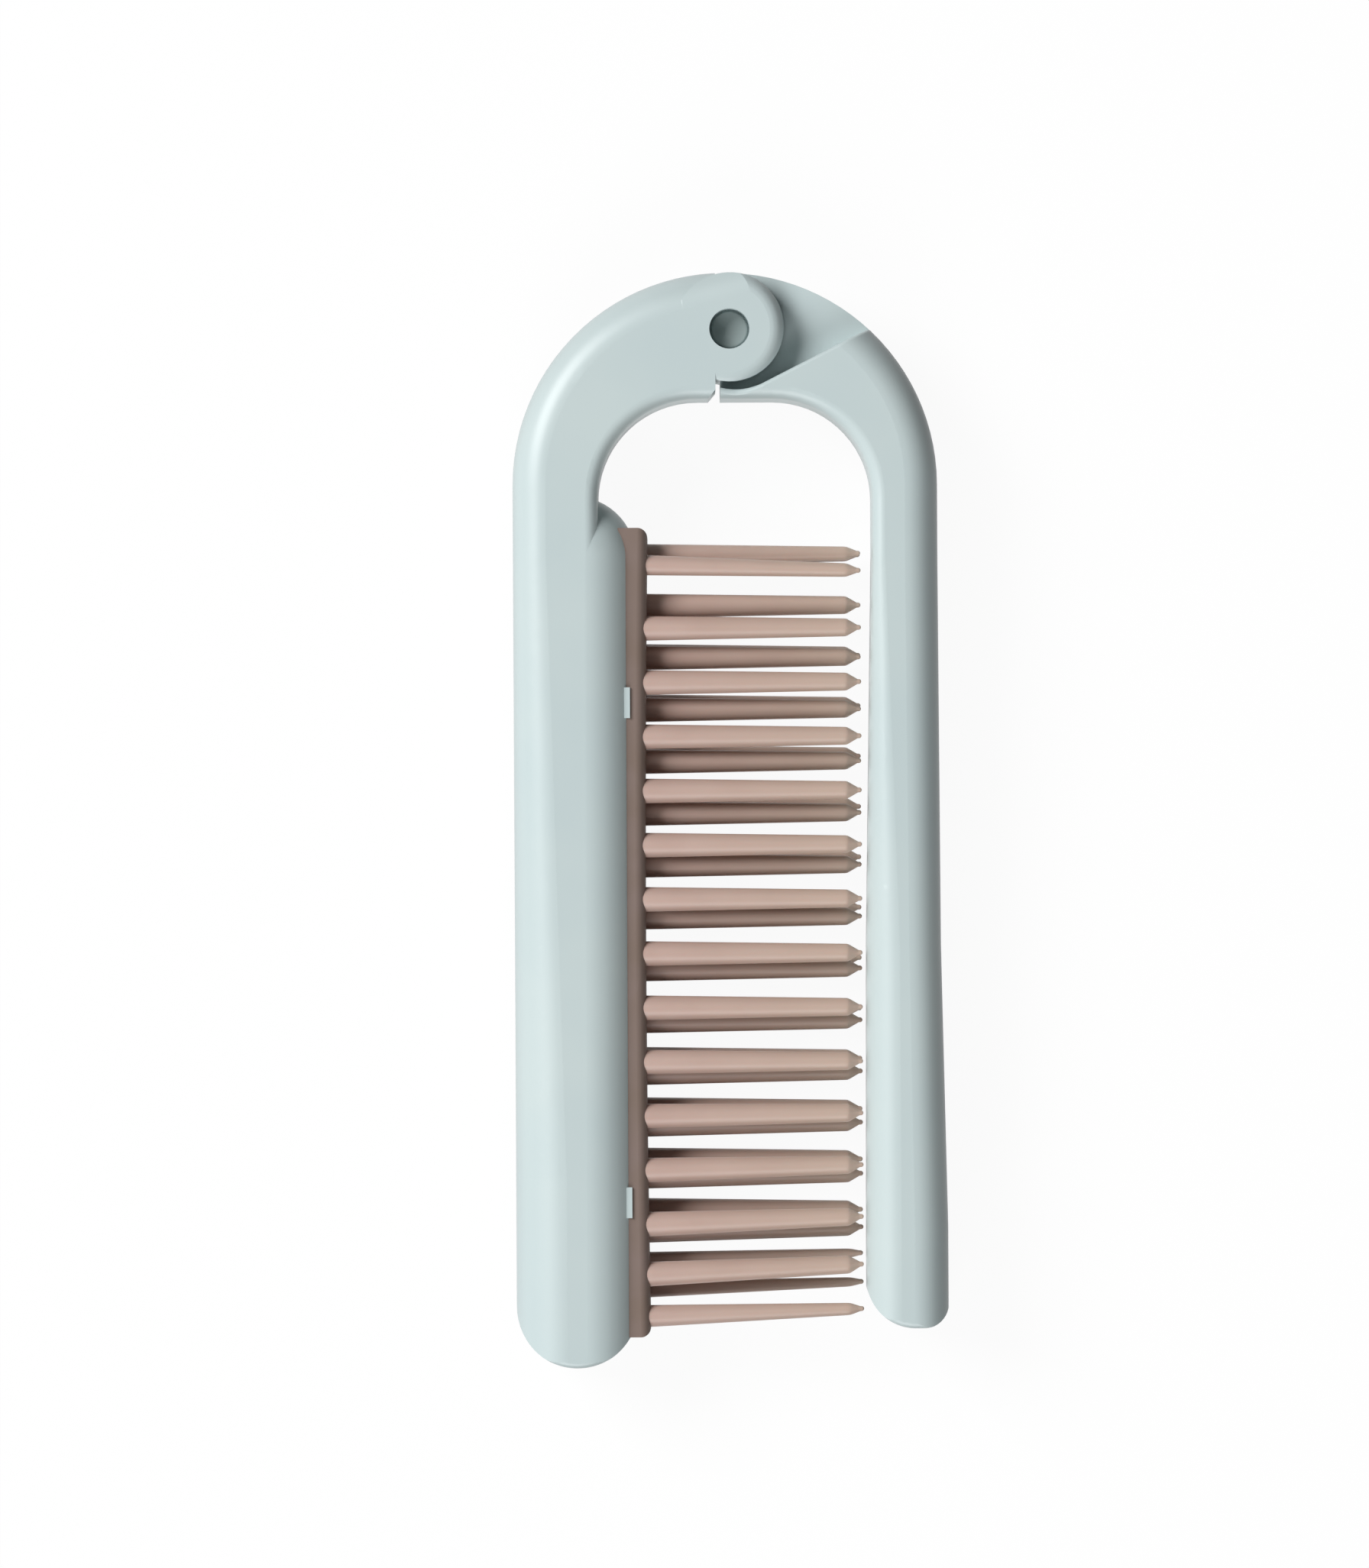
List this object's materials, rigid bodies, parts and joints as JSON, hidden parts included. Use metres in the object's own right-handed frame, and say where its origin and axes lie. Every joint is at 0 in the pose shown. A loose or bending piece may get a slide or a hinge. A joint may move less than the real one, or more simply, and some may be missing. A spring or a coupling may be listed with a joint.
{
  "type": "folding hairbrush",
  "caption": "Pocket hairbrush: a round-edged toothed head and a slim handle arm joined by a pivot at the top of an arch, so that it folds flat into a loop.",
  "frame": {"origin": "middle of the closed brush's outline, on the rear face that it lies on", "axes": "+Z out of the front face, +Y along the brush towards the pivot, +X from the toothed head to the handle arm"},
  "size_m": [0.0507, 0.1283, 0.0144],
  "materials": {
    "shell_plastic": "satin moulded",
    "bristle_plastic": "fine matt moulded",
    "strip_plastic": "fine matt moulded",
    "screw_steel": "zinc plated",
    "washer_plastic": "plain"
  },
  "bodies": {
    "head": {"head_front_shell": "shell_plastic", "head_rear_shell": "shell_plastic", "bristle_strip": "strip_plastic", "front_teeth": "bristle_plastic", "middle_teeth": "bristle_plastic", "rear_teeth": "bristle_plastic", "head_screws": "screw_steel", "pivot_pin": "shell_plastic", "wave_washer": "screw_steel", "bearing_washer": "washer_plastic"},
    "handle": {"handle_front_shell": "shell_plastic", "handle_rear_shell": "shell_plastic", "handle_screws": "screw_steel"}
  },
  "joints": [
    {"name": "fold", "type": "hinge", "parent": "head", "child": "handle", "pos_m": [0, 0.0574, 0.0072], "axis": [0, 0, 1], "range_deg": [0, 160]}
  ]
}
